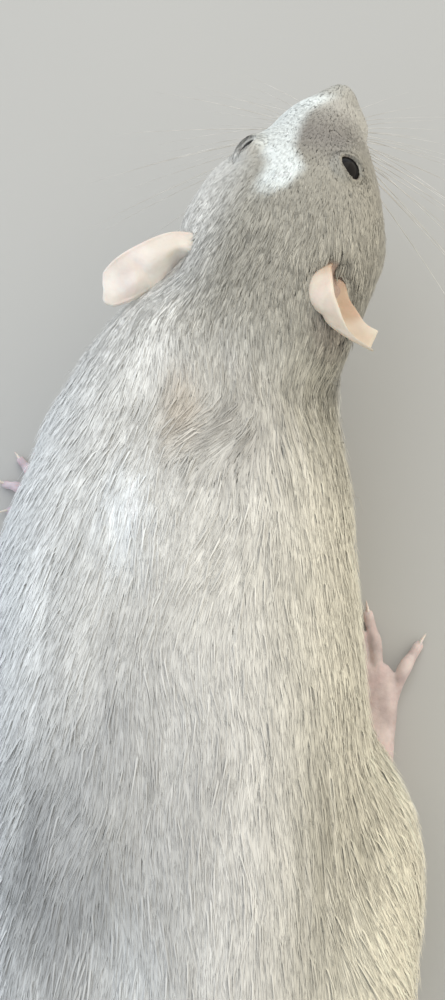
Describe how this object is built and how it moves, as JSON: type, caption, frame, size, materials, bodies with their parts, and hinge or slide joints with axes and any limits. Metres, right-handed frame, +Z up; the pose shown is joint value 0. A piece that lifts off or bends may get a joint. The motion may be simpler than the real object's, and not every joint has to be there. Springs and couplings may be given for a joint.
{
  "type": "pet rat",
  "caption": "Life-size pet rat standing low on four feet with its head turned, a grey-beige hood over a cream coat, and its bare tail laid on the floor behind",
  "frame": {"origin": "middle of the bounding box, on the floor the feet stand on", "axes": "+Z up, the nose toward -Y and the tail toward +Y, the rat's left side toward +X"},
  "size_m": [0.1086, 0.331, 0.0626],
  "materials": {
    "hood_coat": "short soft fur, grey-beige with pale tips",
    "body_coat": "soft fur, cream with fine grey streaks",
    "bare_skin": "thin matte skin with sparse fine hair",
    "tail_skin": "ringed scales, satin",
    "eye": "wet black gloss"
  },
  "bodies": {
    "root": {"head": "hood_coat", "neck": "hood_coat", "torso": "body_coat", "foreleg_left": "body_coat", "foreleg_right": "body_coat", "hind_leg_left": "body_coat", "hind_leg_right": "body_coat", "forefoot_left": "bare_skin", "forefoot_right": "bare_skin", "hind_foot_left": "bare_skin", "hind_foot_right": "bare_skin", "ear_left": "bare_skin", "ear_right": "bare_skin", "tail_base": "tail_skin", "tail_middle": "tail_skin", "tail_end": "tail_skin", "tail_tip": "tail_skin", "eye_left": "eye", "eye_right": "eye"}
  },
  "joints": []
}
